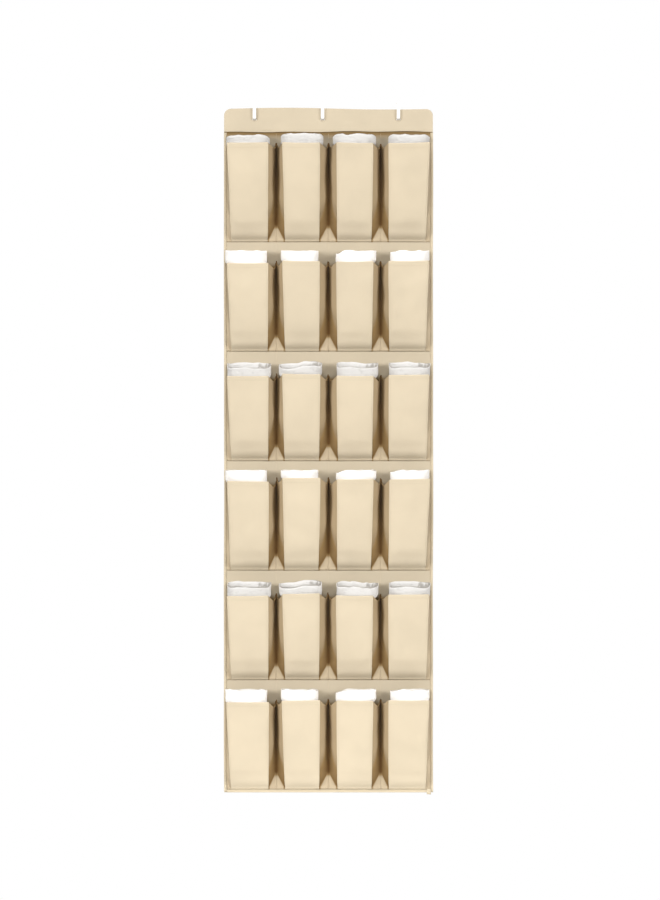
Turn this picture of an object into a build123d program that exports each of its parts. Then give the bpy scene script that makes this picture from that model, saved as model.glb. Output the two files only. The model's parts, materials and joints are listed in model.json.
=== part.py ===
from build123d import *
import math
import os

# An over-the-door shoe organizer: three strap hooks, a cloth sheet with 24 pockets, and the stuffing.
# +Z is up, +X is to the right, and the pockets face -Y. The origin is on the top of the door, at the
# middle of the organizer's width: z = 0 is the door's top and y = 0 is the face that the sheet hangs on.

os.makedirs("parts", exist_ok=True)

# Sheet, in millimetres
sheet_width = 496
sheet_height = 1626
columns = 4
rows = 6
cloth = 1.2
door_to_hem_centre = 7.5
top_edge_drop = 12
bottom_edge = -top_edge_drop - sheet_height
column_pitch = sheet_width / columns

# Top hem, a folded sleeve with a stiff board in it
hem_height = 57
board_thickness = 2
board_clearance = 0.1
board_margin = 4
hem_corner_radius = 16
hem_thickness = board_thickness + 2 * board_clearance + 2 * cloth
hem_front = -door_to_hem_centre - hem_thickness / 2
hem_back = -door_to_hem_centre + hem_thickness / 2
hem_bottom = -top_edge_drop - hem_height
sheet_back = hem_back
sheet_front = sheet_back - cloth

# Edge tape, folded over the cut edges
tape = 0.8
side_tape_width = 6
bottom_tape_width = 6

# Hooks, bent from flat steel strap
strap_width = 8
strap = 1.5
door_gap = 45
back_lip = 30
bend_radius = 1.5
hook_inner_gap = 12
hook_bend_radius = 4
hook_offsets = {"left": -176, "middle": -14, "right": 166}

# Slots in the hem, which the hooks go through
slot_width = 14
slot_height = 5
slot_drop = 27
slot_rest_gap = 0.5
slot_top = -top_edge_drop - slot_drop
strap_top = slot_top - slot_rest_gap
tip_top = -top_edge_drop + 2
slot_stitch_width = 2
slot_stitch_height = 0.6

# Pockets, each a front and two side gussets, sewn to the sheet along its sides and bottom
first_seam_drop = 313
row_pitch = 260
pocket_heights = [230, 210, 202, 210, 202, 210]
pocket_half_width = 56
gusset_taper = 0.127
belly_height = 25
belly_depth = 18
pocket_lean = 16
seam_allowance = 6
seam_overlap = 3
lean_tan = math.tan(math.radians(pocket_lean))
lean_cos = math.cos(math.radians(pocket_lean))

# Stuffing, a hollow roll that stands in each pocket and draws out along the pocket's front
roll_above_mouth = [24, 26, 30, 26, 30, 26]
roll_half_width = 45
roll_wall = 4.5
roll_bottom = 70
roll_off_sheet = 8
roll_clearance = 0.8


def save(part, name):
    """Label a piece and write it to its own file."""
    part.label = name
    export_step(part, f"parts/{name}.step")


def seam_height(row):
    """Height of the seam along the bottom of a row of pockets."""
    return -top_edge_drop - first_seam_drop - row * row_pitch


def column_centre(column):
    """Distance of a column of pockets from the middle of the sheet."""
    return (column - (columns - 1) / 2) * column_pitch


def front_depth(height):
    """How far a pocket's front stands off the sheet, at a height above the pocket's seam."""
    return belly_depth + (height - belly_height) * lean_tan


def side_plane(column, row):
    """Plane across the middle of a pocket: x is forward from the sheet, and y is up from the seam."""
    middle = (column_centre(column), sheet_front, seam_height(row))
    return Plane(origin=middle, x_dir=(0, -1, 0), z_dir=(-1, 0, 0))


def front_plane(y):
    """Upright plane at a distance from the door, whose normal points away from the door."""
    return Plane(origin=(0, y, 0), x_dir=(1, 0, 0), z_dir=(0, -1, 0))


# Back sheet: one panel of cloth, inside the edge tape and below the hem
with BuildPart() as back_sheet:
    with BuildSketch(front_plane(sheet_back)):
        panel_bottom = bottom_edge + tape
        with Locations((0, (hem_bottom + panel_bottom) / 2)):
            Rectangle(sheet_width - 2 * tape, hem_bottom - panel_bottom)
    extrude(amount=cloth)
save(back_sheet.part, "back_sheet")

# Hem sleeve: a fold of cloth, open along the bottom, with a slot for each hook
with BuildPart() as hem_sleeve:
    with BuildSketch(front_plane(hem_back)):
        with Locations((0, (hem_bottom - top_edge_drop) / 2)):
            hem_outline = Rectangle(sheet_width, hem_height)
        fillet(hem_outline.vertices().group_by(Axis.Z)[-1], hem_corner_radius)
    extrude(amount=hem_thickness)
    with BuildSketch(front_plane(hem_back - cloth)):
        with Locations((0, (hem_bottom - top_edge_drop - board_margin) / 2)):
            cavity = Rectangle(sheet_width - 2 * board_margin, hem_height - board_margin)
        fillet(cavity.vertices().group_by(Axis.Z)[-1], hem_corner_radius - board_margin)
    extrude(amount=board_thickness + 2 * board_clearance, mode=Mode.SUBTRACT)
    with BuildSketch(front_plane(hem_back)):
        for offset_x in hook_offsets.values():
            with Locations((offset_x, slot_top - slot_height / 2)):
                Rectangle(slot_width, slot_height)
    extrude(amount=hem_thickness, mode=Mode.SUBTRACT)
save(hem_sleeve.part, "hem_sleeve")

# Hem board: the stiff strip that keeps the top edge straight
with BuildPart() as hem_board:
    board_top = -top_edge_drop - board_margin - board_clearance
    board_bottom = hem_bottom + board_margin
    with BuildSketch(front_plane(hem_back - cloth - board_clearance)):
        with Locations((0, (board_top + board_bottom) / 2)):
            board = Rectangle(
                sheet_width - 2 * (board_margin + board_clearance), board_top - board_bottom
            )
        fillet(board.vertices().group_by(Axis.Z)[-1], hem_corner_radius - board_margin)
        for offset_x in hook_offsets.values():
            with Locations((offset_x, slot_top - slot_height / 2)):
                Rectangle(slot_width, slot_height, mode=Mode.SUBTRACT)
    extrude(amount=board_thickness)
save(hem_board.part, "hem_board")

# Slot stitching: a raised ring of thread round each slot, on the front of the hem
with BuildPart() as slot_stitching:
    with BuildSketch(front_plane(hem_front)):
        for offset_x in hook_offsets.values():
            with Locations((offset_x, slot_top - slot_height / 2)):
                RectangleRounded(
                    slot_width + 2 * slot_stitch_width,
                    slot_height + 2 * slot_stitch_width,
                    slot_stitch_width,
                )
                Rectangle(slot_width, slot_height, mode=Mode.SUBTRACT)
    extrude(amount=slot_stitch_height)
save(slot_stitching.part, "slot_stitching")

# Side tapes: a channel of tape folded over each long edge of the back sheet
for side, sign in {"left": -1, "right": 1}.items():
    with BuildPart() as side_tape:
        tape_top = hem_bottom
        with BuildSketch(front_plane(sheet_back + tape)):
            middle_x = sign * (sheet_width - side_tape_width) / 2
            with Locations((middle_x, (tape_top + bottom_edge) / 2)):
                Rectangle(side_tape_width, tape_top - bottom_edge)
        extrude(amount=cloth + 2 * tape)
        with BuildSketch(front_plane(sheet_back)):
            with Locations((middle_x - sign * tape, (tape_top + bottom_edge + tape) / 2)):
                Rectangle(side_tape_width, tape_top - bottom_edge - tape)
        extrude(amount=cloth, mode=Mode.SUBTRACT)
    save(side_tape.part, f"side_tape_{side}")

# Bottom tape: the same channel along the bottom edge, between the side tapes
with BuildPart() as bottom_tape:
    inner_width = sheet_width - 2 * side_tape_width
    with BuildSketch(front_plane(sheet_back + tape)):
        with Locations((0, bottom_edge + bottom_tape_width / 2)):
            Rectangle(inner_width, bottom_tape_width)
    extrude(amount=cloth + 2 * tape)
    with BuildSketch(front_plane(sheet_back)):
        with Locations((0, bottom_edge + tape + bottom_tape_width / 2)):
            Rectangle(inner_width, bottom_tape_width)
    extrude(amount=cloth, mode=Mode.SUBTRACT)
save(bottom_tape.part, "bottom_tape")

# Hooks: strap that goes over the door, down its face, and forward and up through a slot
for name, offset_x in hook_offsets.items():
    with BuildPart() as hook:
        with BuildSketch(Plane(origin=(offset_x, 0, 0), x_dir=(0, 1, 0), z_dir=(1, 0, 0))):
            half = strap / 2
            tip_y = -strap - hook_inner_gap - half
            corners = [
                (door_gap + half, -back_lip),
                (door_gap + half, half),
                (-half, half),
                (-half, strap_top - half),
                (tip_y, strap_top - half),
                (tip_y, tip_top),
            ]
            radii = [bend_radius, bend_radius, hook_bend_radius + half, hook_bend_radius + half]
            with BuildLine() as centre_line:
                FilletPolyline(*corners, radius=radii)
            trace(line_width=strap)
        extrude(amount=strap_width / 2, both=True)
    save(hook.part, f"hook_{name}")

# Pockets: a wedge that opens upward, hollowed from its top and its back
for row in range(rows):
    height = pocket_heights[row]
    depth = front_depth(height)
    for column in range(columns):
        plane = side_plane(column, row)
        centre_x = column_centre(column)
        with BuildPart() as pocket:
            with BuildSketch(plane):
                with BuildLine():
                    Polyline(
                        (0, 0),
                        (belly_depth, belly_height),
                        (depth, height),
                        (0, height),
                        close=True,
                    )
                make_face()
            extrude(amount=pocket_half_width, both=True)
            for sign in (-1, 1):
                gusset = Plane(
                    origin=(centre_x + sign * pocket_half_width, sheet_front, 0),
                    x_dir=(0, 0, 1),
                    z_dir=(sign, -gusset_taper, 0),
                )
                split(bisect_by=gusset, keep=Keep.BOTTOM)
            mouth = pocket.faces().sort_by(Axis.Z)[-1]
            back = pocket.faces().filter_by(Axis.Y).sort_by(Axis.Y)[-1]
            offset(amount=-cloth, openings=[mouth, back], kind=Kind.INTERSECTION)
            with BuildSketch(front_plane(sheet_front)):
                strip_middle = seam_height(row) + (seam_overlap - seam_allowance) / 2
                with Locations((centre_x, strip_middle)):
                    Rectangle(2 * pocket_half_width, seam_allowance + seam_overlap)
            extrude(amount=cloth)
        save(pocket.part, f"pocket_r{row + 1}_c{column + 1}")

# Stuffing: a flattened roll, open at both ends, upright at the back and leaning at the front
for row in range(rows):
    roll_top = pocket_heights[row] + roll_above_mouth[row]
    front_gap = (cloth + roll_clearance) / lean_cos
    for column in range(columns):
        with BuildPart() as stuffing:
            with BuildSketch(side_plane(column, row)):
                with BuildLine():
                    Polyline(
                        (roll_off_sheet, roll_bottom),
                        (front_depth(roll_bottom) - front_gap, roll_bottom),
                        (front_depth(roll_top) - front_gap, roll_top),
                        (roll_off_sheet, roll_top),
                        close=True,
                    )
                make_face()
            extrude(amount=roll_half_width, both=True)
            ends = stuffing.faces().filter_by(Axis.Z)
            offset(amount=-roll_wall, openings=ends, kind=Kind.INTERSECTION)
        save(stuffing.part, f"stuffing_r{row + 1}_c{column + 1}")
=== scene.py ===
import json
import math

import bpy
import numpy as np
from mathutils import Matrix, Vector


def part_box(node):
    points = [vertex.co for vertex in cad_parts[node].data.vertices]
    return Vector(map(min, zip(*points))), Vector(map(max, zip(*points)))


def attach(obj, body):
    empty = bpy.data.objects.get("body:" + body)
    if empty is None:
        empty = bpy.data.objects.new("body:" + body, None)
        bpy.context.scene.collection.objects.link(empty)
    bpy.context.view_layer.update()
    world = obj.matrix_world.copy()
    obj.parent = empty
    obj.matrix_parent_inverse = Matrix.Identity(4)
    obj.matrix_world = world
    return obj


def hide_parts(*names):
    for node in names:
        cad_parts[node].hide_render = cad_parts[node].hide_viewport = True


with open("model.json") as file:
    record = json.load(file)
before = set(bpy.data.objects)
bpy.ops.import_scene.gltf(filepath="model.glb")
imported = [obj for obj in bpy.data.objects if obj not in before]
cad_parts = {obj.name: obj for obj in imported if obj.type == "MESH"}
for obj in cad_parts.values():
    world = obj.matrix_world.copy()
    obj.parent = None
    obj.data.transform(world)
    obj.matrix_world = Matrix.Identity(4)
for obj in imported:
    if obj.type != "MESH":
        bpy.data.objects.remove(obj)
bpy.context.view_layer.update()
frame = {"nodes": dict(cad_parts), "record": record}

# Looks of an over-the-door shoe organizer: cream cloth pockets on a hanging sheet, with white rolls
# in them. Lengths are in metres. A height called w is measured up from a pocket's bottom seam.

record = frame["record"]
base_colour = {m["slot"]: tuple(m["base_color"][:3]) for m in record["materials"]}

MM = 0.001
ROWS = 6
COLUMNS = 4
SHEET_BODY = "sheet"

# Places that the frame gives
sheet_low, sheet_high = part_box("back_sheet")
hem_low, hem_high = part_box("hem_sleeve")
stitch_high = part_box("slot_stitching")[1]
tape_low, tape_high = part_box("side_tape_left")
bottom_tape_low, bottom_tape_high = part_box("bottom_tape")
half_width = hem_high[0]
sheet_front = sheet_low[1]
sheet_back = sheet_high[1]
bottom_edge = tape_low[2]
hem_bottom = hem_low[2]
top_edge = hem_high[2]
hook_names = ["hook_left", "hook_middle", "hook_right"]
hook_centres = [(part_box(n)[0][0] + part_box(n)[1][0]) / 2 for n in hook_names]

# Slots in the hem: how far the CAD's stitching reaches past them, and the cloth's smaller slits
SLOT_MARGIN = 2 * MM
SLOT_HALF_WIDTH = 5 * MM
SLOT_OPEN = 2.6 * MM
slot_top = stitch_high[2] - SLOT_MARGIN
slot_bottom = slot_top - SLOT_OPEN

# Sway of the hanging sheet: how far below the hem it is full, then each wave's seed, length, height
FREE_LENGTH = 0.15
SWAY_FORWARD = (11, 0.30, 0.55 * MM)
SWAY_SIDEWAYS = (12, 0.45, 0.5 * MM)

# Back sheet: points across and up, and its top edge tucked into the hem and forward
BACKING_POINTS = (125, 331)
TUCK = 4 * MM
TUCK_FORWARD = 1.3 * MM

# Hem: points across and up, the least space beside a slot's edge, the corners, the waving top and
# bottom edges, the dimples and the rounded rim
HEM_POINTS = (149, 23)
BESIDE_SLOT = 1.2 * MM
HEM_CORNER = 16 * MM
HEM_CORNER_LINES_MM = (0.4, 1.2, 2.4, 4.2, 6.5)
HEM_WAVE = 2.0 * MM
HEM_BOTTOM_WAVE = 1.5 * MM
HEM_BOTTOM_REACH = 20 * MM
HEM_DIMPLE = 0.25 * MM
HEM_EDGE = 0.9 * MM

# Edge tape
TAPE = 0.7 * MM
TAPE_CLEARANCE = 0.15 * MM
TAPE_FOLD_POINTS = 9
SIDE_TAPE_POINTS = 300
BOTTOM_TAPE_POINTS = 120

# Pocket cloth, its seams and its hem
CLOTH = 0.9 * MM
PLEAT_STACK = 2.8 * MM
SEAM_ALLOWANCE = 6 * MM
MOUTH_HEM = 11 * MM
LIP_TURN = 0.8 * MM

# Pocket front: its belly above the seam, its crowned middle, small dents and pressed edges
BELLY_HEIGHT = 25 * MM
BELLY_DEPTH = 18 * MM
BELLY_RISE = 1.15
FRONT_INSET = 1.0 * MM
FRONT_CROWN = 1.5 * MM
FRONT_DENT = 0.45 * MM
CREASE = 1.0 * MM
EDGE_JITTER = 1.2 * MM

# Gussets: the pleat's depth at the seam and the heights between which it opens, how far its middle
# then stands out, the cloth's width, where it is sewn, its lower crease, and the upper edge's sag
PLEAT_DEPTH = 20 * MM
PLEAT_OPENS = 5 * MM
PLEAT_OPEN = 105 * MM
GUSSET_HALF_WIDTH = 55 * MM
GUSSET_WAVE = 1.3 * MM
SEWN_HALF_WIDTH = 61.9 * MM
SEWN_OVERLAP = 0.4 * MM
SEWN_AT_TAPE = 55.6 * MM
SEWN_DEPTH = {-1: 0.55 * MM, 1: 0.4 * MM}
CREASE_DEPTH = 0.6 * MM
CREASE_TOP = 36 * MM
GUSSET_SAG = 13 * MM
SAG_REACH = 70 * MM

# Points across a pocket: flat on the sheet, back and fore part of each gusset, and the front
FLAT_STEPS = 4
BACK_STEPS = 7
FORE_STEPS = 7
GUSSET_POINTS = FLAT_STEPS + BACK_STEPS + FORE_STEPS
FRONT_STEPS = 30
front_places = np.sin(np.linspace(-1, 1, FRONT_STEPS + 1) * math.pi / 2)

# Painted shade on the cloth, from 0 deep in a fold to 1: between pockets, flat on the sheet, on the
# strip beside the front, on the outermost gussets, and a painted shadow below the hem with how far
# down that reaches
GAP_PAINTED_SHADE = 0.10
FLAT_PAINTED_SHADE = 0.8
STRIP_PAINTED_SHADE = 0.67
SIDE_PAINTED_SHADE = 0.85
PAINTED_HEM_SHADOW = 0.38
HEM_SHADOW_REACH = 22 * MM

# Look of the rolls in each row
ROW_STYLE = ["crumpled", "plain", "rolled", "plain", "rolled", "plain"]

# Edges of each column's pocket front, from the column's middle: left at mouth, left at seam, right
# at mouth, right at seam. The outer columns' fronts reach further out.
FRONT_EDGES_MM = [(-54, -45, 43, 42), (-46, -42, 40, 39), (-42, -40, 43, 39), (-42, -42, 52, 45)]

# How far each pocket's mouth is below the top of its CAD solid, or above it where negative
MOUTH_DROP_MM = [
    (1, 1, 1, 1),
    (6, 1, 2, 1),
    (6, 0.5, 5, 3),
    (2.5, -5, -3, -2.5),
    (6, 0.5, 5, 3),
    (6, 1, 2, 1),
]

# Left and right edges of each roll above its pocket's mouth, from the column's middle
ROLL_EDGES_MM = {
    "crumpled": [(-58, 46), (-52, 50), (-53, 51), (-46, 54)],
    "plain": [(-60, 40), (-52, 38), (-46, 51), (-41, 53)],
    "rolled": [(-55, 50), (-57, 47), (-44, 56), (-44, 55)],
}

# Rims of the rolls, by column: drop of a crumpled one, slope at the left of a plain one, and the
# place and height of a rolled one's hump
CRUMPLED_DROP_MM = (8.0, 4.0, 5.0, 6.5)
PLAIN_SLOPE_MM = (0.0, 0.0, -7.0, -4.0)
ROLLED_PEAK = (-0.2, 0.45, -0.35, -0.1)
ROLLED_LIFT_MM = (2.0, 7.0, 3.0, 3.0)

# Rolls: turns, spacing and thickness, points round one turn and up, space beside the pocket's front
# edges and behind its front, space at the bottom, the top and the back, and the form of the section
ROLL_TURNS = 2.3
ROLL_SPACING = 3.1 * MM
ROLL_CLOTH = 1.5 * MM
ROLL_STEPS = 72
ROLL_LEVELS = 26
ROLL_GAP = 4.5 * MM
ROLL_BEHIND_FRONT = 3.6 * MM
ROLL_LIFT = 2 * MM
ROLL_END_GAP = 1.5 * MM
ROLL_SQUARENESS = 3.2

# Cloth simulation of the pockets: slack, how firmly each part is held, how many frames it runs, and
# how the moves are limited and evened out
SLACK = 0.006
LIGHT_HOLD = 0.1
EDGE_HOLD = 0.4
HEM_HOLD = 0.35
BELLY_HOLD = 0.7
DRAPE_FRAMES = 18
DRAPE_LIMIT = 2.8 * MM
TOWARDS_ROLL = 1.2 * MM
SOFTEN_PASSES = 14
SEAM_ROWS = 5
CLOTH_SETTINGS = {
    "quality": 5,
    "mass": 0.25,
    "air_damping": 2.0,
    "tension_stiffness": 20,
    "compression_stiffness": 12,
    "shear_stiffness": 6,
    "bending_stiffness": 0.4,
    "shrink_min": -SLACK,
    "shrink_max": -SLACK,
    "vertex_group_mass": "sewn",
    "pin_stiffness": 1.0,
}

# Stitches: sides of the thread, each ring's place along the stitch and height in thread radii, the
# stitches round a slot, and how far in from the sheet's edge a tape is sewn
THREAD_SIDES = 5
STITCH_RINGS = ((-0.5, -0.6), (-0.3, 0.7), (0.3, 0.7), (0.5, -0.6))
BUTTONHOLE_REACH = 3.1 * MM
BUTTONHOLE_SPACING = 0.72 * MM
TAPE_SEAM_IN = 4.2 * MM

# Camera, floor and lamps, with each lamp's place, size and power
LENS = 303
CAMERA_DISTANCE = 18.0
CAMERA_SIDE = 3.6 * MM
FLOOR = -2.03
FLOOR_SIZE = 1.9
LIGHTS = {
    "left": ((-8.7, -7.9, 1.4), 4.4, 825),
    "right": ((8.7, -7.9, 1.1), 4.4, 695),
    "above": ((0.0, -8.0, 6.5), 4.0, 725),
    "behind": ((1.5, 8.0, 3.0), 3.0, 900),
}


def smoothstep(x):
    """0 below 0, 1 above 1, and a smooth rise between."""
    x = np.clip(x, 0, 1)
    return x * x * (3 - 2 * x)


def ripples(u, v, seed, wavelength, height, waves=7):
    """A smooth random surface: a few sine waves in directions that the seed sets."""
    rng = np.random.default_rng(seed)
    total = np.zeros(np.broadcast(u, v).shape)
    for _ in range(waves):
        angle = rng.uniform(0, math.tau)
        phase = rng.uniform(0, math.tau)
        length = wavelength * rng.uniform(0.6, 1.7)
        along = u * math.cos(angle) + v * math.sin(angle)
        total = total + np.sin(math.tau * along / length + phase)
    return height * total / math.sqrt(waves)


def hang(points):
    """Moves points on the flat sheet to the hanging cloth, which sways a little off its plane."""
    points = np.array(points, float)
    x, z = points[..., 0], points[..., 2]
    free = smoothstep((hem_bottom - z) / FREE_LENGTH)
    points[..., 1] += free * ripples(x, z * 0.6, *SWAY_FORWARD)
    points[..., 0] += free * ripples(x * 0.2, z, *SWAY_SIDEWAYS)
    return points


# ---------------------------------------------------------------- meshes


def mesh_object(name, points, faces):
    """A smooth-shaded mesh object in the scene."""
    mesh = bpy.data.meshes.new(name)
    mesh.from_pydata([tuple(p) for p in np.asarray(points, float).reshape(-1, 3)], [], faces)
    mesh.polygons.foreach_set("use_smooth", [True] * len(mesh.polygons))
    mesh.update()
    obj = bpy.data.objects.new(name, mesh)
    bpy.context.scene.collection.objects.link(obj)
    return obj


def grid_faces(rows, columns):
    """Quads of a grid of points, row by row."""
    return [
        (r * columns + c, r * columns + c + 1, (r + 1) * columns + c + 1, (r + 1) * columns + c)
        for r in range(rows - 1)
        for c in range(columns - 1)
    ]


def grid_object(name, grid):
    """A mesh object from an array of points, rows by columns by 3."""
    return mesh_object(name, grid, grid_faces(grid.shape[0], grid.shape[1]))


def settle(obj):
    """Applies every modifier of an object to its mesh."""
    depsgraph = bpy.context.evaluated_depsgraph_get()
    mesh = bpy.data.meshes.new_from_object(obj.evaluated_get(depsgraph))
    obj.modifiers.clear()
    obj.data = mesh
    mesh.polygons.foreach_set("use_smooth", [True] * len(mesh.polygons))


def thicken(obj, thickness):
    """Gives a surface the thickness of cloth, half to each side."""
    solid = obj.modifiers.new("thickness", "SOLIDIFY")
    solid.thickness = thickness
    solid.offset = 0
    solid.use_even_offset = False
    settle(obj)


def finish_piece(obj, material, body):
    """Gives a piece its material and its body."""
    obj.data.materials.clear()
    obj.data.materials.append(material)
    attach(obj, body)


# ---------------------------------------------------------------- materials


class Nodes:
    """Short calls for building a material's node tree."""

    def __init__(self, name):
        self.material = bpy.data.materials.new(name)
        self.material.use_nodes = True
        self.tree = self.material.node_tree
        self.shader = self.tree.nodes["Principled BSDF"]
        coordinates = self.tree.nodes.new("ShaderNodeTexCoord")
        self.place = coordinates.outputs["Object"]

    def link(self, value, socket):
        """Sets a socket from a number, a colour or another node's output."""
        if isinstance(value, (int, float, tuple)):
            socket.default_value = value
        else:
            self.tree.links.new(value, socket)

    def surface(self, name, value):
        """Sets one of the shader's own sockets."""
        self.link(value, self.shader.inputs[name])

    def math(self, operation, a, b=0.0):
        node = self.tree.nodes.new("ShaderNodeMath")
        node.operation = operation
        self.link(a, node.inputs[0])
        self.link(b, node.inputs[1])
        return node.outputs[0]

    def unit(self, wave):
        """A wave from -1 to 1, brought to 0 to 1."""
        result = self.math("MULTIPLY_ADD", wave, 0.5)
        result.node.inputs[2].default_value = 0.5
        return result

    def axes(self):
        node = self.tree.nodes.new("ShaderNodeSeparateXYZ")
        self.link(self.place, node.inputs[0])
        return node.outputs[0], node.outputs[1], node.outputs[2]

    def stretched(self, scale):
        """The object's coordinates, stretched along each axis."""
        node = self.tree.nodes.new("ShaderNodeMapping")
        self.link(self.place, node.inputs["Vector"])
        node.inputs["Scale"].default_value = scale
        return node.outputs["Vector"]

    def noise(self, scale, detail=3.0, roughness=0.5, place=None):
        node = self.tree.nodes.new("ShaderNodeTexNoise")
        self.link(place or self.place, node.inputs["Vector"])
        node.inputs["Scale"].default_value = scale
        node.inputs["Detail"].default_value = detail
        node.inputs["Roughness"].default_value = roughness
        return node.outputs["Fac"]

    def attribute(self, name):
        node = self.tree.nodes.new("ShaderNodeAttribute")
        node.attribute_name = name
        return node.outputs["Fac"]

    def ramp(self, value, stops):
        node = self.tree.nodes.new("ShaderNodeValToRGB")
        self.link(value, node.inputs["Fac"])
        elements = node.color_ramp.elements
        while len(elements) < len(stops):
            elements.new(0.5)
        for element, (position, colour) in zip(elements, stops):
            element.position = position
            element.color = (*colour, 1)
        return node.outputs["Color"]

    def mix(self, factor, a, b, blend="MIX"):
        node = self.tree.nodes.new("ShaderNodeMix")
        node.data_type = "RGBA"
        node.blend_type = blend
        self.link(factor, node.inputs["Factor"])
        self.tree.links.new(a, node.inputs["A"])
        self.tree.links.new(b, node.inputs["B"])
        return node.outputs["Result"]

    def bump(self, height, strength, distance, after=None):
        node = self.tree.nodes.new("ShaderNodeBump")
        self.link(height, node.inputs["Height"])
        node.inputs["Strength"].default_value = strength
        node.inputs["Distance"].default_value = distance
        if after is not None:
            self.tree.links.new(after, node.inputs["Normal"])
        return node.outputs["Normal"]


def shade(colour, factor):
    """A colour made lighter or darker."""
    return tuple(min(1.0, c * factor) for c in colour)


# Painted shade: colour that the cloth is multiplied by, from deep in a fold to open cloth
PAINTED_FOLD_SHADE_COLOURS = [(0.0, (0.13, 0.055, 0.006)), (0.5, (0.48, 0.37, 0.22)), (1.0, (1.0, 1.0, 1.0))]
# Painted shade: colour that a roll is multiplied by, from its hidden inner turns to its open
# outside
PAINTED_INSIDE_SHADE_COLOURS = [(0.0, (0.62, 0.60, 0.57)), (1.0, (1.0, 1.0, 1.0))]


def woven(name, colour, thread=0.75 * MM, depth=0.16 * MM, rib=1.0, shaded_folds=False):
    """Plain-woven cloth: crossing threads, slubs, uneven dye and soft creases.

    With shaded_folds, painted shade darkens the cloth where the piece's painted_fold_shade is low.
    """
    n = Nodes(name)
    x, y, z = n.axes()
    across = n.math("ADD", x, n.math("MULTIPLY", y, 0.83))
    drift = n.math("MULTIPLY", n.noise(45, 2), 0.5 * thread)
    warp = n.math("SINE", n.math("MULTIPLY", n.math("ADD", across, drift), math.tau / thread))
    weft = n.math("SINE", n.math("MULTIPLY", n.math("ADD", z, drift), math.tau / (thread * rib)))
    weave = n.math("MULTIPLY", warp, weft)
    slubs = n.noise(1.0, 2, 0.6, n.stretched((260, 260, 1900)))
    fibre = n.noise(2600, 2, 0.6)
    mottled = n.noise(9, 4, 0.55)
    stops = [(0.30, shade(colour, 0.955)), (0.52, colour), (0.74, shade(colour, 1.03))]
    dye = n.ramp(mottled, stops)
    thread_tone = n.unit(weave)
    stops = [(0.0, (0.90, 0.89, 0.87)), (0.6, (0.99, 0.99, 0.99)), (1.0, (1, 1, 1))]
    tone = n.ramp(n.math("ADD", thread_tone, n.math("MULTIPLY", slubs, 0.35)), stops)
    surface = n.mix(0.8, dye, tone, "MULTIPLY")
    if shaded_folds:
        # Painted shade: darkest deep in folds and between pockets
        shade_colour = n.ramp(n.attribute("painted_fold_shade"), PAINTED_FOLD_SHADE_COLOURS)
        surface = n.mix(1.0, surface, shade_colour, "MULTIPLY")
    n.surface("Base Color", surface)
    rough = n.math("ADD", n.math("MULTIPLY", fibre, 0.16), 0.78)
    n.surface("Roughness", rough)
    creases = n.bump(n.noise(16, 4, 0.5), 0.35, 2.4 * MM)
    fine = n.math("ADD", n.math("MULTIPLY", weave, 0.5), n.math("MULTIPLY", slubs, 0.8))
    fine = n.math("ADD", fine, n.math("MULTIPLY", fibre, 0.5))
    n.surface("Normal", n.bump(fine, 0.45, depth, creases))
    n.surface("Sheen Weight", 0.08)
    n.surface("Sheen Tint", (1.0, 0.86, 0.62, 1))
    n.surface("Sheen Roughness", 0.6)
    n.surface("Specular IOR Level", 0.12)
    return n.material


def soft_white(name, colour, crease, crease_shade):
    """Soft crumpled white stuffing: fibres, painted shade in the low parts of its folds, and
    painted shade on the inside turns.
    """
    n = Nodes(name)
    shaded_folds = n.noise(1.0, 5, 0.6, n.stretched((70, 70, 120)))
    fibre = n.noise(1500, 3, 0.65)
    tone = n.math("ADD", shaded_folds, n.math("MULTIPLY", fibre, 0.12))
    # The low parts of the fold noise, the bump's hollows, are painted greyer: painted shade
    stops = [(0.34, shade(colour, crease_shade)), (0.52, colour), (0.8, shade(colour, 1.02))]
    # Painted shade on the inner turns, down below the front rim
    inside_shade = n.ramp(n.attribute("painted_fold_shade"), PAINTED_INSIDE_SHADE_COLOURS)
    n.surface("Base Color", n.mix(1.0, n.ramp(tone, stops), inside_shade, "MULTIPLY"))
    n.surface("Roughness", n.math("ADD", n.math("MULTIPLY", fibre, 0.1), 0.8))
    large = n.bump(shaded_folds, crease, 3.0 * MM)
    n.surface("Normal", n.bump(fibre, 0.3, 0.15 * MM, large))
    n.surface("Sheen Weight", 0.12)
    n.surface("Specular IOR Level", 0.2)
    return n.material


def coated_steel(name, colour):
    """White dipped coating on steel strap: slight orange peel, with faint scuffs."""
    n = Nodes(name)
    scuffs = n.noise(1.0, 4, 0.7, n.stretched((500, 120, 120)))
    stops = [(0.30, shade(colour, 0.90)), (0.46, colour)]
    n.surface("Base Color", n.ramp(scuffs, stops))
    n.surface("Roughness", n.math("ADD", n.math("MULTIPLY", scuffs, 0.25), 0.22))
    n.surface("Normal", n.bump(n.noise(900, 2), 0.15, 0.1 * MM))
    n.surface("Coat Weight", 0.3)
    n.surface("Coat Roughness", 0.2)
    return n.material


def sewing_thread(name, colour):
    """Twisted sewing thread."""
    n = Nodes(name)
    x, y, z = n.axes()
    slant = n.math("ADD", n.math("ADD", x, y), z)
    twist = n.math("SINE", n.math("MULTIPLY", slant, math.tau / (0.5 * MM)))
    tone = n.unit(twist)
    stops = [(0, shade(colour, 0.86)), (1, shade(colour, 1.05))]
    n.surface("Base Color", n.ramp(tone, stops))
    n.surface("Normal", n.bump(tone, 0.5, 0.08 * MM))
    n.surface("Roughness", 0.6)
    n.surface("Sheen Weight", 0.2)
    return n.material


def grey_board(name, colour):
    """Pressed grey board with flecks."""
    n = Nodes(name)
    flecks = n.noise(700, 4, 0.7)
    stops = [(0.3, shade(colour, 0.8)), (0.6, colour), (0.8, shade(colour, 1.1))]
    n.surface("Base Color", n.ramp(flecks, stops))
    n.surface("Normal", n.bump(flecks, 0.3, 0.1 * MM))
    n.surface("Roughness", 0.9)
    return n.material


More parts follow.
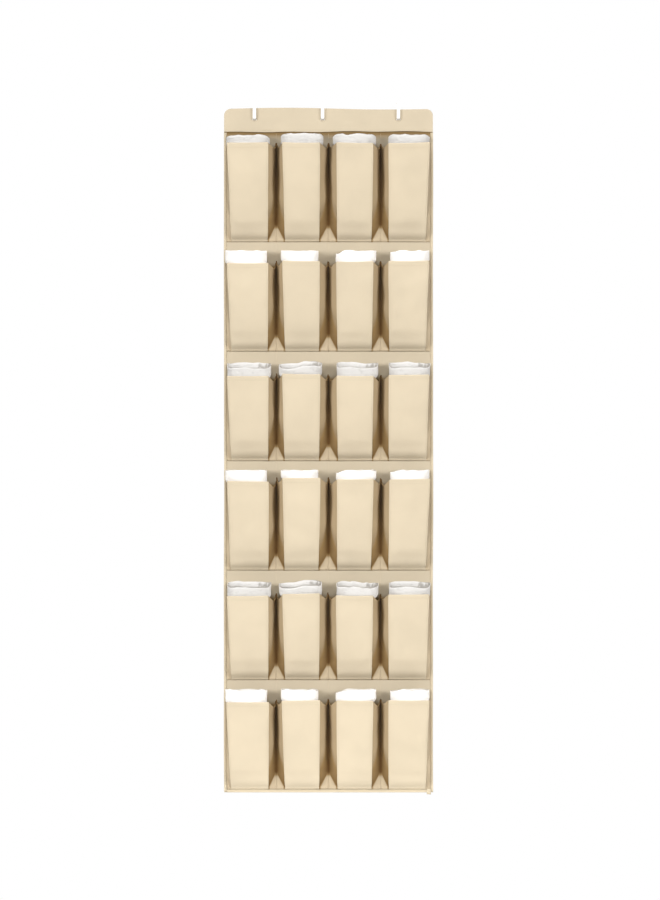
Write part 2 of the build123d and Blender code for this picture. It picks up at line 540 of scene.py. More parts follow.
# How far each cloth is darkened from the record's colour, to look as in the photo under these lamps
DYE = 0.78
pocket_material = woven("cream_pockets_painted_shade", shade(base_colour["cloth"], DYE), shaded_folds=True)
# The backing and hem are darker copies of the pocket cloth's colour: painted shade, since the lamps
# light the flat sheet and hem more than the leaning pocket fronts
backing_shaded_colour = shade(base_colour["cloth"], DYE * 0.80)
tape_colour = shade(base_colour["tape"], DYE * 0.95)
back_material = woven("cream_backing_painted_shade", backing_shaded_colour, 0.8 * MM, shaded_folds=True)
hem_material = woven("cream_hem_painted_shade", shade(base_colour["cloth"], DYE * 0.90))
tape_material = woven("cream_tape", tape_colour, thread=0.6 * MM, rib=2.0)
thread_material = sewing_thread("cream_thread", shade(base_colour["thread"], 0.74))
board_material = grey_board("grey_board", base_colour["board"])
hook_material = coated_steel("white_coating", base_colour["hook_coating"])
# The last number of each roll is how grey the painted shade in its creases is
roll_materials = {
    "crumpled": soft_white("crumpled_white", shade(base_colour["stuffing"], 0.73), 0.75, 0.86),
    "plain": soft_white("plain_white", shade(base_colour["stuffing"], 1.04), 0.25, 0.97),
    "rolled": soft_white("rolled_white", shade(base_colour["stuffing"], 0.76), 0.5, 0.86),
}


# ---------------------------------------------------------------- stitches


def stitches(name, lines, pitch=4.2 * MM, length=3.0 * MM, radius=0.32 * MM):
    """Sewing thread along lines on cloth. Each line is (points, outward normals)."""
    sides = THREAD_SIDES
    points, faces = [], []
    for path, outward in lines:
        path, outward = np.asarray(path, float), np.asarray(outward, float)
        steps = np.linalg.norm(np.diff(path, axis=0), axis=1)
        along = np.concatenate([[0], np.cumsum(steps)])
        count = int(along[-1] / pitch)
        for k in range(count):
            middle = (k + 0.5) * along[-1] / count
            rings = []
            for offset, lift in STITCH_RINGS:
                s = middle + offset * length
                p = np.array([np.interp(s, along, path[:, i]) for i in range(3)])
                o = np.array([np.interp(s, along, outward[:, i]) for i in range(3)])
                o /= np.linalg.norm(o)
                rings.append((p + o * lift * radius, o))
            forward = rings[-1][0] - rings[0][0]
            forward /= np.linalg.norm(forward)
            start = len(points)
            for centre, o in rings:
                side = np.cross(forward, o)
                side /= np.linalg.norm(side)
                for i in range(sides):
                    a = math.tau * i / sides
                    points.append(centre + radius * (math.cos(a) * o + math.sin(a) * side))
            for r in range(len(rings) - 1):
                for i in range(sides):
                    j = (i + 1) % sides
                    a, b = start + r * sides, start + (r + 1) * sides
                    faces.append((a + i, a + j, b + j, b + i))
            faces.append(tuple(start + i for i in reversed(range(sides))))
            last = start + (len(rings) - 1) * sides
            faces.append(tuple(last + i for i in range(sides)))
    obj = mesh_object(name, points, faces)
    finish_piece(obj, thread_material, SHEET_BODY)
    return obj


def straight_line(start, end, y, count=60):
    """A seam between two (x, z) points on the sheet, facing forward."""
    t = np.linspace(0, 1, count)[:, None]
    xz = np.array(start) * (1 - t) + np.array(end) * t
    path = hang(np.column_stack([xz[:, 0], np.full(count, y), xz[:, 1]]))
    return path, np.tile([0.0, -1.0, 0.0], (count, 1))


def sheet_seams():
    """Seams between the columns, along the tapes and along the hem's bottom edge."""
    on_tape = sheet_front - 0.9 * MM
    lines = []
    for k in range(1, COLUMNS):
        x = -half_width + k * 2 * half_width / COLUMNS
        lines.append(straight_line((x, bottom_edge + 8 * MM), (x, hem_bottom), sheet_front, 300))
    for side in (-1, 1):
        x = side * (half_width - TAPE_SEAM_IN)
        lines.append(straight_line((x, bottom_edge + 3 * MM), (x, hem_bottom), on_tape, 300))
    x, z = half_width - 7 * MM, bottom_edge + TAPE_SEAM_IN
    lines.append(straight_line((-x, z), (x, z), on_tape))
    x, z = half_width - 3 * MM, hem_bottom + 4 * MM
    lines.append(straight_line((-x, z), (x, z), hem_low[1]))
    return lines


def buttonhole_lines():
    """One short stitch after another round each slot, each running away from the slot's edge."""
    front = hem_low[1] - 0.05 * MM
    half_w, half_h = SLOT_HALF_WIDTH, (slot_top - slot_bottom) / 2
    middle = (slot_top + slot_bottom) / 2
    sides = [
        ((0, 1), half_w, half_h),
        ((0, -1), half_w, half_h),
        ((1, 0), half_h, half_w),
        ((-1, 0), half_h, half_w),
    ]
    lines = []
    for centre in hook_centres:
        for (away_x, away_z), half_run, half_gap in sides:
            count = int(2 * half_run / BUTTONHOLE_SPACING)
            first = count * BUTTONHOLE_SPACING / 2
            for s in (np.arange(count) + 0.5) * BUTTONHOLE_SPACING - first:
                x = centre + away_x * half_gap + away_z * s
                z = middle + away_z * half_gap + away_x * s
                end_x, end_z = x + away_x * BUTTONHOLE_REACH, z + away_z * BUTTONHOLE_REACH
                path = np.array([(x, front, z), (end_x, front, end_z)])
                lines.append((path, np.tile([0.0, -1.0, 0.0], (2, 1))))
    return lines


# ---------------------------------------------------------------- sheet, hem and tape


def backing_painted_shade(x, z):
    """Painted shade on the back sheet: darker between neighbouring pockets, and a painted shadow
    close below the hem.
    """
    pitch = 2 * half_width / COLUMNS
    from_line = np.abs((x + half_width + pitch / 2) % pitch - pitch / 2)
    beside_tape = half_width - np.abs(x) < 0.4 * pitch
    tone = np.ones(x.shape)
    for row in range(ROWS):
        low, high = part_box(f"pocket_r{row + 1}_c1")
        seam = low[2] + SEAM_ALLOWANCE
        between_pockets_shade = smoothstep((z - seam - 0.7 * CREASE_TOP) / (25 * MM))
        between_pockets_shade *= 1 - smoothstep((z - high[2] + 26 * MM) / (24 * MM))
        between_pockets_shade *= 1 - smoothstep((from_line - 20 * MM) / (12 * MM))
        tone = np.minimum(tone, 1 - (1 - GAP_PAINTED_SHADE) * np.where(beside_tape, 0.2, 1.0) * between_pockets_shade)
    # Painted shadow close below the hem
    hem_shadow_mask = 1 - smoothstep((hem_bottom - z) / HEM_SHADOW_REACH)
    return np.minimum(tone, 1 - (1 - PAINTED_HEM_SHADOW) * hem_shadow_mask)


def make_back_sheet():
    """The panel that carries the pockets, with its top edge tucked into the hem."""
    xs = np.linspace(sheet_low[0], sheet_high[0], BACKING_POINTS[0])
    zs = np.linspace(sheet_low[2], sheet_high[2] + TUCK, BACKING_POINTS[1])
    x, z = np.meshgrid(xs, zs)
    y = (sheet_front + sheet_back) / 2 - TUCK_FORWARD * smoothstep((z - hem_bottom + TUCK) / TUCK)
    grid = hang(np.stack([x, y, z], axis=-1))
    obj = grid_object("backing_cloth", grid)
    thicken(obj, sheet_back - sheet_front)
    points = point_array(obj.data)
    # The painted shade goes on the forward faces only; the back face keeps the cloth's colour
    faces_forward = np.array([normal.vector.y for normal in obj.data.vertex_normals]) < 0
    set_painted_shade(obj, np.where(faces_forward, backing_painted_shade(points[:, 0], points[:, 2]), 1.0))
    finish_piece(obj, back_material, SHEET_BODY)
    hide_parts("back_sheet")


def hem_lines():
    """The x and z grid lines of the hem, with lines along every slot edge."""
    xs = list(np.linspace(-half_width, half_width, HEM_POINTS[0]))
    for centre in hook_centres:
        edges = (centre - SLOT_HALF_WIDTH, centre + SLOT_HALF_WIDTH)
        xs = [x for x in xs if all(abs(x - e) > BESIDE_SLOT for e in edges)]
        xs += list(edges)
    corner = np.array(HEM_CORNER_LINES_MM) * MM
    xs += list(-half_width + corner) + list(half_width - corner)
    zs = list(np.linspace(hem_bottom, top_edge, HEM_POINTS[1]))
    zs = [z for z in zs if all(abs(z - e) > BESIDE_SLOT for e in (slot_top, slot_bottom))]
    zs += [slot_top, slot_bottom]
    return np.array(sorted(xs)), np.array(sorted(zs))


def make_hem():
    """The folded sleeve: a soft-edged plate with a slot for each hook and a gently waving edge."""
    xs, zs = hem_lines()
    x, z = np.meshgrid(xs, zs)
    inset = np.clip(HEM_CORNER - (half_width - np.abs(x)), 0, HEM_CORNER)
    corner_drop = HEM_CORNER - np.sqrt(HEM_CORNER**2 - inset**2)
    wave = ripples(x, 0 * x, 21, 0.22, HEM_WAVE, waves=4) - HEM_WAVE
    rise = np.clip((z - slot_top) / (top_edge - slot_top), 0, 1)
    drop = np.clip((z - hem_bottom) / (top_edge - hem_bottom), 0, 1)
    height = z + rise * wave - drop**2 * corner_drop
    near_bottom = 1 - smoothstep((z - hem_bottom) / HEM_BOTTOM_REACH)
    height += near_bottom * ripples(x, 0 * x, 22, 0.20, HEM_BOTTOM_WAVE, 4)
    middle = (hem_low[1] + hem_high[1]) / 2
    y = np.full(x.shape, middle)
    y += ripples(x, z, 23, 0.07, HEM_DIMPLE) * smoothstep((slot_bottom - z) / (10 * MM))
    grid = np.stack([x, y, height], axis=-1)
    faces = []
    columns = len(xs)
    for face in grid_faces(len(zs), columns):
        r, c = divmod(face[0], columns)
        cx, cz = (xs[c] + xs[c + 1]) / 2, (zs[r] + zs[r + 1]) / 2
        beside_hook = any(abs(cx - h) < SLOT_HALF_WIDTH for h in hook_centres)
        if not (beside_hook and slot_bottom < cz < slot_top):
            faces.append(face)
    obj = mesh_object("hem_fold", grid, faces)
    solid = obj.modifiers.new("thickness", "SOLIDIFY")
    solid.thickness = hem_high[1] - hem_low[1]
    solid.offset = 0
    bevel = obj.modifiers.new("fold", "BEVEL")
    bevel.width = HEM_EDGE
    bevel.segments = 3
    bevel.limit_method = "ANGLE"
    bevel.angle_limit = math.radians(50)
    settle(obj)
    finish_piece(obj, hem_material, SHEET_BODY)
    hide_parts("hem_sleeve")
    width, height = float(2 * half_width), float(top_edge - hem_bottom)


def channel(name, centre_line, across, node):
    """Tape folded over the sheet's edge: a U section swept along the edge, open side inward."""
    arc = np.linspace(-math.pi / 2, math.pi / 2, TAPE_FOLD_POINTS)
    inner = (sheet_back - sheet_front) / 2 + TAPE_CLEARANCE
    radius = inner + TAPE / 2
    section = [(0.0, -radius)]
    section += [(across - radius + radius * math.cos(a), radius * math.sin(a)) for a in arc]
    section += [(0.0, radius)]
    grid = []
    for base, outward in centre_line:
        grid.append([base + outward * s + np.array([0, t, 0]) for s, t in section])
    obj = grid_object(name, hang(np.array(grid)))
    thicken(obj, TAPE)
    finish_piece(obj, tape_material, SHEET_BODY)
    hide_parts(node)


def make_tapes():
    """The three tapes round the sheet's cut edges."""
    middle = (sheet_front + sheet_back) / 2
    width = tape_high[0] - tape_low[0]
    for side, name in ((-1, "left"), (1, "right")):
        inner_x = side * (half_width - width)
        line = [
            (np.array([inner_x, middle, z]), np.array([side, 0.0, 0.0]))
            for z in np.linspace(bottom_edge, hem_bottom, SIDE_TAPE_POINTS)
        ]
        channel(f"edge_tape_{name}", line, width, f"side_tape_{name}")
    across = bottom_tape_high[2] - bottom_tape_low[2]
    line = [
        (np.array([x, middle, bottom_tape_high[2]]), np.array([0.0, 0.0, -1.0]))
        for x in np.linspace(bottom_tape_low[0], bottom_tape_high[0], BOTTOM_TAPE_POINTS)
    ]
    channel("edge_tape_bottom", line, across, "bottom_tape")


def make_tab():
    """A short end of tape, folded over the bottom edge near the right corner."""
    width, hangs, overlap = 10 * MM, 5 * MM, 8 * MM
    off_sheet, slant = 1.7 * MM, 0.08
    right_edge = half_width - 5 * MM
    front = sheet_front - off_sheet
    back = sheet_back + off_sheet
    middle, radius = (front + back) / 2, (back - front) / 2
    arc = np.radians(np.linspace(180, 0, 11))
    profile = [(front, overlap - t) for t in np.linspace(0, overlap, 5)]
    profile += [(middle + radius * math.cos(a), -hangs * math.sin(a)) for a in arc]
    profile += [(back, t) for t in np.linspace(0, overlap, 5)]
    across = np.linspace(0, -width, 6)
    grid = [[(right_edge + u, y, bottom_edge + z - slant * u) for u in across] for y, z in profile]
    obj = grid_object("tape_tab", hang(grid))
    thicken(obj, TAPE)
    finish_piece(obj, tape_material, SHEET_BODY)


# ---------------------------------------------------------------- pockets


class Pocket:
    """Where one pocket is, and its measures above its bottom seam."""

    def __init__(self, row, column):
        self.row, self.column = row, column
        self.name = f"r{row + 1}_c{column + 1}"
        self.style = ROW_STYLE[row]
        low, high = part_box(f"pocket_{self.name}")
        self.centre = (low[0] + high[0]) / 2
        self.wall = high[1]
        self.seam = low[2] + SEAM_ALLOWANCE
        self.tallest = high[2] - self.seam
        self.height = self.tallest - MOUTH_DROP_MM[row][column] * MM
        self.slope = (high[1] - low[1] - BELLY_DEPTH) / (self.tallest - BELLY_HEIGHT)
        self.seed = 100 * (row + 1) + column
        rng = np.random.default_rng(self.seed)
        left_mouth, left_seam, right_mouth, right_seam = (e * MM for e in FRONT_EDGES_MM[column])
        jitter = rng.uniform(-1, 1, 4) * EDGE_JITTER
        self.left = (left_seam + jitter[0], left_mouth + jitter[1])
        self.right = (right_seam + jitter[2], right_mouth + jitter[3])
        self.sewn_left = -(SEWN_AT_TAPE if column == 0 else SEWN_HALF_WIDTH + SEWN_OVERLAP)
        self.sewn_right = SEWN_AT_TAPE if column == COLUMNS - 1 else SEWN_HALF_WIDTH

    def depth(self, w):
        """How far the front stands off the sheet at a height above the seam."""
        t = np.clip(w / BELLY_HEIGHT, 0, 1)
        start, end = PLEAT_STACK, BELLY_DEPTH
        rise0, rise1 = BELLY_RISE * BELLY_HEIGHT, self.slope * BELLY_HEIGHT
        curve = (
            (2 * t**3 - 3 * t**2 + 1) * start
            + (t**3 - 2 * t**2 + t) * rise0
            + (-2 * t**3 + 3 * t**2) * end
            + (t**3 - t**2) * rise1
        )
        above_belly = np.maximum(w - BELLY_HEIGHT, 0)
        return curve + above_belly * self.slope - FRONT_INSET * smoothstep(w / BELLY_HEIGHT)

    def edge(self, side, w):
        """Place of the front's left or right edge, from the column's middle."""
        seam, mouth = self.left if side < 0 else self.right
        t = np.clip(w / self.height, 0, 1)
        return seam + (mouth - seam) * t


def gusset_points(pocket, side, w, depth):
    """Points from the sewn edge to just before the front's edge, as (x, depth) pairs.

    At the seam the gusset lies flat on the sheet and is folded in behind the front as a pleat. The
    crease where it leaves the sheet slants from the front's corner up to the sewn edge. Higher up
    the pleat opens, until the gusset's middle stands out beyond the front's edge.
    """
    sewn = pocket.sewn_left if side < 0 else pocket.sewn_right
    edge = pocket.edge(side, w)
    opening = smoothstep((w - PLEAT_OPENS) / (PLEAT_OPEN - PLEAT_OPENS))
    wave = ripples(np.array(w), 0, pocket.seed + 7 * side, 0.11, GUSSET_WAVE, 4) * opening
    folded_x = edge - side * PLEAT_DEPTH
    open_x = side * (GUSSET_HALF_WIDTH + wave)
    seam_point = np.array([sewn, SEWN_DEPTH[side]])
    middle = np.array([folded_x + (open_x - folded_x) * opening, depth * (0.45 + 0.15 * opening)])
    front_point = np.array([edge, depth])
    crease_x = edge + (sewn - edge) * min(max(w, 0) / CREASE_TOP, 0.9)
    flat_crease = np.array([crease_x, CREASE_DEPTH])
    raised = smoothstep((w - 0.6 * CREASE_TOP) / (0.6 * CREASE_TOP))
    crease = flat_crease * (1 - raised) + (seam_point + 0.2 * (middle - seam_point)) * raised
    points = []
    spans = (
        (seam_point, crease, FLAT_STEPS),
        (crease, middle, BACK_STEPS),
        (middle, front_point, FORE_STEPS),
    )
    for start, end, steps in spans:
        for t in np.arange(steps) / steps:
            points.append(start * (1 - t) + end * t)
    points = np.array(points)
    smooth = points.copy()
    for _ in range(3):
        smooth[1:-1] = (smooth[:-2] + 2 * smooth[1:-1] + smooth[2:]) / 4
    points[1:-1] += opening * (smooth[1:-1] - points[1:-1])
    return points


def gusset_painted_shade(pocket, side, w):
    """Painted shade across a gusset: darkest in the fold, lighter where it lies flat on the sheet.
    """
    outer = (side < 0 and pocket.column == 0) or (side > 0 and pocket.column == COLUMNS - 1)
    place = np.arange(GUSSET_POINTS) / (GUSSET_POINTS - 1)
    tone = GAP_PAINTED_SHADE + (STRIP_PAINTED_SHADE - GAP_PAINTED_SHADE) * smoothstep(place * 1.4)
    if outer:
        tone = np.full(GUSSET_POINTS, SIDE_PAINTED_SHADE)
    flat = 1 - smoothstep((w - 0.6 * CREASE_TOP) / (0.4 * CREASE_TOP))
    lies_flat = np.where(np.arange(GUSSET_POINTS) < FLAT_STEPS, flat, 0.0)
    return tone + (FLAT_PAINTED_SHADE - tone) * lies_flat


def pocket_section(pocket, w):
    """One level section of a pocket, from its left sewn edge to its right one."""
    depth = float(pocket.depth(max(w, 0)) * (1 - 0.9 * max(-w, 0) / SEAM_ALLOWANCE))
    left = gusset_points(pocket, -1, w, depth)
    right = gusset_points(pocket, 1, w, depth)[::-1]
    lo, hi = pocket.edge(-1, w), pocket.edge(1, w)
    x = (lo + hi) / 2 + front_places * (hi - lo) / 2
    full = smoothstep(w / (50 * MM))
    crown = FRONT_CROWN * (1 - front_places**2) * full
    dent = ripples(x, w, pocket.seed, 0.07, FRONT_DENT) * (1 - front_places**4) * full
    front = np.column_stack([x, depth + crown + dent])
    crease = CREASE * smoothstep(w / (15 * MM)) / math.sqrt(2)
    front[0] += (-crease, crease)
    front[-1] += (crease, crease)
    return np.concatenate([left, front, right])


def pocket_grid(pocket):
    """Points of a pocket's cloth, from its seam allowance to its mouth, and over into its hem."""
    levels = np.concatenate(
        [
            [-SEAM_ALLOWANCE, -SEAM_ALLOWANCE / 2],
            np.arange(0, 60, 3) * MM,
            np.linspace(60 * MM, pocket.height - 2 * MM, 40),
        ]
    )
    mouth = pocket_section(pocket, pocket.height)
    rows, shades = [], []
    for w in levels:
        section = pocket_section(pocket, w)
        rows.append(np.column_stack([section[:, 0], section[:, 1], np.full(len(section), w)]))
        shades.append(section_painted_shade(pocket, w))
    tangent = np.gradient(mouth, axis=0)
    tangent /= np.linalg.norm(tangent, axis=1)[:, None]
    inward = np.column_stack([tangent[:, 1], -tangent[:, 0]])
    turn = LIP_TURN
    angles = np.radians([0, 45, 90, 135, 180])
    lip = [(turn * (1 - math.cos(a)), turn * math.sin(a)) for a in angles]
    lip += [(2 * turn, -d) for d in np.array([3, 7, 10]) * MM]
    for shift, rise in lip:
        below = pocket_section(pocket, pocket.height + min(rise, 0))
        points = below + inward * shift
        height = np.full(len(points), pocket.height + rise - turn)
        rows.append(np.column_stack([points[:, 0], points[:, 1], height]))
        shades.append(section_painted_shade(pocket, pocket.height))
    grid = np.array(rows)
    x = pocket.centre + grid[..., 0]
    y = pocket.wall - grid[..., 1]
    z = pocket.seam + grid[..., 2] - mouth_sag(pocket, grid)
    return np.stack([x, y, z], axis=-1), np.array(shades)


def section_painted_shade(pocket, w):
    """Painted shade along one level section of a pocket; the front itself gets none."""
    left, right = gusset_painted_shade(pocket, -1, w), gusset_painted_shade(pocket, 1, w)[::-1]
    return np.concatenate([left, np.ones(FRONT_STEPS + 1), right])


def mouth_sag(pocket, grid):
    """How far the cloth's upper edge drops: a little on the front, more in each gusset."""
    near_mouth = smoothstep((grid[..., 2] - pocket.height + SAG_REACH) / SAG_REACH)
    across = np.clip(grid[..., 0] / (50 * MM), -1, 1)
    rng = np.random.default_rng(pocket.seed + 3)
    middle, tilt = rng.uniform(0.4, 1.6) * MM, rng.uniform(-1, 1) * MM
    drop = middle * (1 - across**2) + tilt * across + abs(tilt)
    slack = np.sin(np.arange(GUSSET_POINTS) / GUSSET_POINTS * math.pi) ** 1.3 * GUSSET_SAG
    slack = np.concatenate([slack * rng.uniform(0.8, 1.1), np.zeros(FRONT_STEPS + 1), slack[::-1]])
    return near_mouth * (drop + slack)


def make_pocket(pocket):
    """One pocket's cloth as a thin surface, before the simulation."""
    grid, shades = pocket_grid(pocket)
    obj = grid_object(f"pocket_cloth_{pocket.name}", hang(grid))
    set_painted_shade(obj, shades)
    pocket.shape = grid.shape
    return obj


def set_painted_shade(obj, shades):
    """Stores the painted shade of each point of a piece, which its material multiplies into its
    colour.
    """
    layer = obj.data.attributes.new("painted_fold_shade", "FLOAT", "POINT")
    layer.data.foreach_set("value", np.asarray(shades, np.float32).ravel())


def point_array(mesh):
    """The mesh's points as an array."""
    points = np.empty(3 * len(mesh.vertices), np.float32)
    mesh.vertices.foreach_get("co", points)
    return points.reshape(-1, 3)


def hold_sewn(pocket, obj):
    """Vertex group that holds a pocket where it is sewn, and lightly elsewhere."""
    rows, columns, _ = pocket.shape
    row, column = np.mgrid[0:rows, 0:columns]
    from_side = np.minimum(column, columns - 1 - column)
    from_front = np.minimum(abs(column - GUSSET_POINTS), abs(column - GUSSET_POINTS - FRONT_STEPS))
    hold = np.full((rows, columns), LIGHT_HOLD)
    hold = np.where(from_front < 2, EDGE_HOLD, hold)
    near_mouth = np.round(smoothstep((row - rows + 30) / 24) * 6) / 6
    hold = np.maximum(hold, LIGHT_HOLD + (HEM_HOLD - LIGHT_HOLD) * near_mouth)
    belly = np.round((1 - smoothstep((row - 9) / 8)) * 6) / 6
    hold = np.maximum(hold, BELLY_HOLD * belly)
    hold = np.where((from_side == 0) | (row < SEAM_ROWS), 1.0, hold)
    group = obj.vertex_groups.new(name="sewn")
    for weight in np.unique(hold):
        group.add(np.flatnonzero(hold.ravel() == weight).tolist(), float(weight), "REPLACE")


def soften(moved):
    """Evens out the simulated moves from point to point, with the sewn edges held."""
    moved = moved.copy()
    for _ in range(SOFTEN_PASSES):
        inner = (moved[SEAM_ROWS - 1 : -2] + 2 * moved[SEAM_ROWS:-1] + moved[SEAM_ROWS + 1 :]) / 4
        moved[SEAM_ROWS:-1] = inner
        moved[:, 1:-1] = (moved[:, :-2] + 2 * moved[:, 1:-1] + moved[:, 2:]) / 4
    return moved


def drape(pieces):
    """Cloth simulation: every pocket has a little slack and settles under its own weight.

    Each point moves no further than DRAPE_LIMIT, and then the moves are evened out.
    """
    for pocket, obj in pieces:
        hold_sewn(pocket, obj)
        cloth = obj.modifiers.new("drape", "CLOTH")
        for setting, value in CLOTH_SETTINGS.items():
            setattr(cloth.settings, setting, value)
        cloth.collision_settings.use_collision = False
        cloth.collision_settings.use_self_collision = False
        cloth.point_cache.frame_start = 1
        cloth.point_cache.frame_end = DRAPE_FRAMES
    for frame_number in range(1, DRAPE_FRAMES + 1):
        bpy.context.scene.frame_set(frame_number)
    depsgraph = bpy.context.evaluated_depsgraph_get()
    for pocket, obj in pieces:
        moved = point_array(obj.evaluated_get(depsgraph).data) - point_array(obj.data)
        reach = np.linalg.norm(moved, axis=1)[:, None]
        moved *= np.minimum(reach, DRAPE_LIMIT) / np.maximum(reach, 1e-9)
        moved[:, 1] = np.minimum(moved[:, 1], TOWARDS_ROLL)
        moved = soften(moved.reshape(pocket.shape)).reshape(-1, 3)
        obj.modifiers.clear()
        obj.vertex_groups.clear()
        obj.data.vertices.foreach_set("co", (point_array(obj.data) + moved).ravel())
        obj.data.update()
    bpy.context.scene.frame_set(1)


def dress_pocket(pocket, obj):
    """Thickness, material and body of a pocket whose shape is final, with its CAD part hidden."""
    grid = point_array(obj.data).astype(float).reshape(pocket.shape)
    thicken(obj, CLOTH)
    finish_piece(obj, pocket_material, SHEET_BODY)
    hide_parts(f"pocket_{pocket.name}")
    return grid


def pocket_seams(grid):
    """Stitch lines on a pocket: its mouth hem, its bottom seam and its pressed front edges."""
    first = GUSSET_POINTS
    last = first + FRONT_STEPS
    hem_height = grid[:, first, 2].max() - MOUTH_HEM
    hem_row = next(i for i in range(grid.shape[0]) if grid[i, first, 2] > hem_height)
    out = np.array([0.0, -1.0, 0.0])
    lines = []
    for row, span in ((hem_row, slice(first, last + 1)), (1, slice(0, grid.shape[1]))):
        path = grid[row, span].copy()
        if row == 1:
            path = path[[0, -1]]
            path = np.linspace(path[0], path[1], 40)
            path[:, 1] = grid[row, first : last + 1, 1].min()
        path[:, 1] -= CLOTH / 2
        lines.append((path, np.tile(out, (len(path), 1))))
    for column in (first + 3, last - 3):
        path = grid[6 : hem_row + 1, column].copy()
        path[:, 1] -= CLOTH / 2
        lines.append((path, np.tile(out, (len(path), 1))))
    return lines


# ---------------------------------------------------------------- rolls of stuffing


def rim_height(style, column, across, back, turn, seed):
    """How far the roll's rim is from its highest, where across runs -1 to 1 and back 0 to 1."""
    rng = np.random.default_rng(seed)
    if style == "crumpled":
        rounded = -7 * MM * np.clip((np.abs(across) - 0.72) / 0.28, 0, 1) ** 2
        drop = CRUMPLED_DROP_MM[column] * MM
        return rounded - drop + ripples(across, back, seed, 0.55, 1.2 * MM) + 1.5 * MM * back
    if style == "plain":
        slope = PLAIN_SLOPE_MM[column] * MM
        left = slope * (1 - smoothstep((across + 1) / 0.55))
        return left - 3 * MM + ripples(across, back, seed, 0.9, 0.7 * MM) + 1.0 * MM * back
    hump = ROLLED_LIFT_MM[column] * MM * np.exp(-(((across - ROLLED_PEAK[column]) / 0.6) ** 2))
    inner = np.maximum(turn - 1, 0)
    rear = (rng.uniform(12, 14) - 7 * inner) * MM * smoothstep(back * 1.5)
    return -18 * MM - 2 * MM * inner + hump + rear + ripples(across, back, seed, 0.8, 0.8 * MM)


def rim_of_front(grid):
    """Height of the outer turn's rim in front of each point of a roll."""
    rim = grid[-1, : ROLL_STEPS * 3 // 4]
    order = np.argsort(rim[:, 0])
    return np.interp(grid[..., 0], rim[order, 0], rim[order, 2])


def make_roll(pocket):
    """A sheet of soft white stuff rolled flat, leaning on the pocket's front."""
    low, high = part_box(f"stuffing_{pocket.name}")
    left, right = (e * MM for e in ROLL_EDGES_MM[pocket.style][pocket.column])
    steps = int(ROLL_STEPS * ROLL_TURNS)
    turned = np.linspace(0, math.tau * ROLL_TURNS, steps + 1)
    angle = turned - 0.4 * math.pi
    inset = ROLL_SPACING * turned / math.tau
    levels = np.linspace(0, 1, ROLL_LEVELS) ** 0.85
    bottom = low[2] + ROLL_LIFT - pocket.seam
    top = high[2] - pocket.seam - ROLL_END_GAP
    back_wall = pocket.wall - high[1] + ROLL_END_GAP
    rows, shades = [], []
    power = 2 / ROLL_SQUARENESS
    cosine, sine = np.cos(angle), np.sin(angle)
    superx = np.sign(cosine) * np.abs(cosine) ** power
    supery = np.sign(sine) * np.abs(sine) ** power
    for level in levels:
        w0 = bottom + (top - bottom) * level
        out = smoothstep((w0 - pocket.height + 15 * MM) / (20 * MM))
        inner_left = pocket.edge(-1, w0) + ROLL_GAP
        inner_right = pocket.edge(1, w0) - ROLL_GAP
        lo = inner_left * (1 - out) + left * out
        hi = inner_right * (1 - out) + right * out
        front = float(pocket.depth(w0)) - ROLL_BEHIND_FRONT
        half_x = (hi - lo) / 2 - inset
        half_y = (front - back_wall) / 2 - inset * 0.95
        x = (lo + hi) / 2 + superx * half_x
        y = (front + back_wall) / 2 + supery * half_y
        back = np.clip((1 - supery) / 2, 0, 1)
        turn = turned / math.tau
        rim = rim_height(pocket.style, pocket.column, superx, back, turn, pocket.seed + 5)
        layer = ripples(inset * 40, superx, pocket.seed + 6, 0.5, 0.8 * MM)
        w = w0 + level**4 * (rim + layer)
        crumple = ripples(angle * 20 * MM, w, pocket.seed + 9, 34 * MM, 0.5 * MM)
        y = y + crumple * (0.5 + out)
        x = x + ripples(angle * 20 * MM, w, pocket.seed + 10, 30 * MM, 0.4 * MM) * out
        rows.append(np.column_stack([pocket.centre + x, pocket.wall - y, pocket.seam + w]))
        # Painted shade: none on the outer turn's front half, full on the inner turns and the back
        shades.append(np.where((turned < math.tau * 0.8) & (supery > -0.2), 1.0, 0.0))
    grid, outside = np.array(rows), np.array(shades)
    # The painted shade stays off where a point rises above the front rim
    near_rim = smoothstep((grid[..., 2] - rim_of_front(grid)) / (5 * MM))
    obj = grid_object(f"roll_{pocket.name}", grid)
    set_painted_shade(obj, np.maximum(outside, near_rim))
    thicken(obj, ROLL_CLOTH)
    finish_piece(obj, roll_materials[pocket.style], f"stuffing_{pocket.name}")
    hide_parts(f"stuffing_{pocket.name}")


# ---------------------------------------------------------------- camera and light


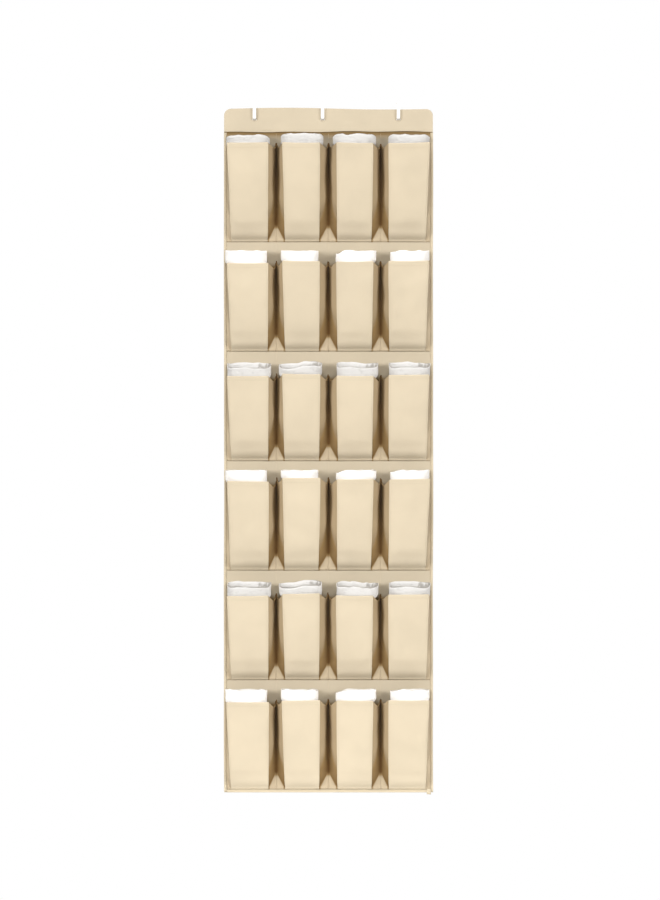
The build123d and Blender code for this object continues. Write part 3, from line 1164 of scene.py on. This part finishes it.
def make_stage():
    """Camera, floor and soft light."""
    camera = bpy.data.objects.new("camera", bpy.data.cameras.new("camera"))
    bpy.context.scene.collection.objects.link(camera)
    camera.data.lens = LENS
    camera.data.clip_end = 50
    middle = (top_edge + bottom_edge) / 2
    camera.location = (CAMERA_SIDE, -CAMERA_DISTANCE, middle)
    camera.rotation_euler = (math.pi / 2, 0, 0)
    bpy.context.scene.camera = camera

    size = FLOOR_SIZE
    corners = [(-size, -size, FLOOR), (size, -size, FLOOR), (size, 0.6, FLOOR), (-size, 0.6, FLOOR)]
    floor = mesh_object("floor", corners, [(0, 1, 2, 3)])
    n = Nodes("pale_floor")
    stops = [(0.4, (0.80, 0.80, 0.79)), (0.6, (0.84, 0.84, 0.83))]
    n.surface("Base Color", n.ramp(n.noise(3, 3), stops))
    n.surface("Roughness", 0.7)
    floor.data.materials.append(n.material)

    for name, (place, size, power) in LIGHTS.items():
        light = bpy.data.lights.new(name, "AREA")
        light.shape = "SQUARE"
        light.size = size
        light.energy = power
        obj = bpy.data.objects.new(name, light)
        obj.location = place
        target = np.array([0, 0, middle]) - np.array(place)
        obj.rotation_euler = direction_angles(target)
        bpy.context.scene.collection.objects.link(obj)

    world = bpy.data.worlds.new("white_room")
    bpy.context.scene.world = world
    world.use_nodes = True
    tree = world.node_tree
    background = tree.nodes["Background"]
    background.inputs["Color"].default_value = (1.0, 0.80, 0.52, 1)
    background.inputs["Strength"].default_value = 0.13
    seen = tree.nodes.new("ShaderNodeBackground")
    seen.inputs["Color"].default_value = (1, 1, 1, 1)
    seen.inputs["Strength"].default_value = 1.0
    ray = tree.nodes.new("ShaderNodeLightPath")
    mix = tree.nodes.new("ShaderNodeMixShader")
    tree.links.new(ray.outputs["Is Camera Ray"], mix.inputs["Fac"])
    tree.links.new(background.outputs[0], mix.inputs[1])
    tree.links.new(seen.outputs[0], mix.inputs[2])
    tree.links.new(mix.outputs[0], tree.nodes["World Output"].inputs["Surface"])
    bpy.context.scene.view_settings.view_transform = "Standard"


def direction_angles(direction):
    """Rotation of a lamp that shines along a direction, which isn't straight up or down."""
    x, y, z = direction / np.linalg.norm(direction)
    return (math.acos(-z), 0, math.atan2(-x, y))


# ---------------------------------------------------------------- the organizer

make_stage()
make_back_sheet()
make_hem()
make_tapes()
make_tab()

pockets = [Pocket(row, column) for row in range(ROWS) for column in range(COLUMNS)]
pieces = [(pocket, make_pocket(pocket)) for pocket in pockets]
drape(pieces)
seam_lines = []
for pocket, obj in pieces:
    seam_lines += pocket_seams(dress_pocket(pocket, obj))
    make_roll(pocket)
stitches("pocket_stitching", seam_lines)

buttonholes = stitches("buttonhole_stitching", buttonhole_lines(), pitch=3.0 * MM, length=2.5 * MM)
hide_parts("slot_stitching")

stitches("sheet_stitching", sheet_seams())

for name in hook_names:
    node = frame["nodes"][name]
    for material_slot in node.material_slots:
        material_slot.material = hook_material
    bevel = node.modifiers.new("rounded", "BEVEL")
    bevel.width = 0.35 * MM
    bevel.segments = 2
    bevel.limit_method = "ANGLE"
for material_slot in frame["nodes"]["hem_board"].material_slots:
    material_slot.material = board_material
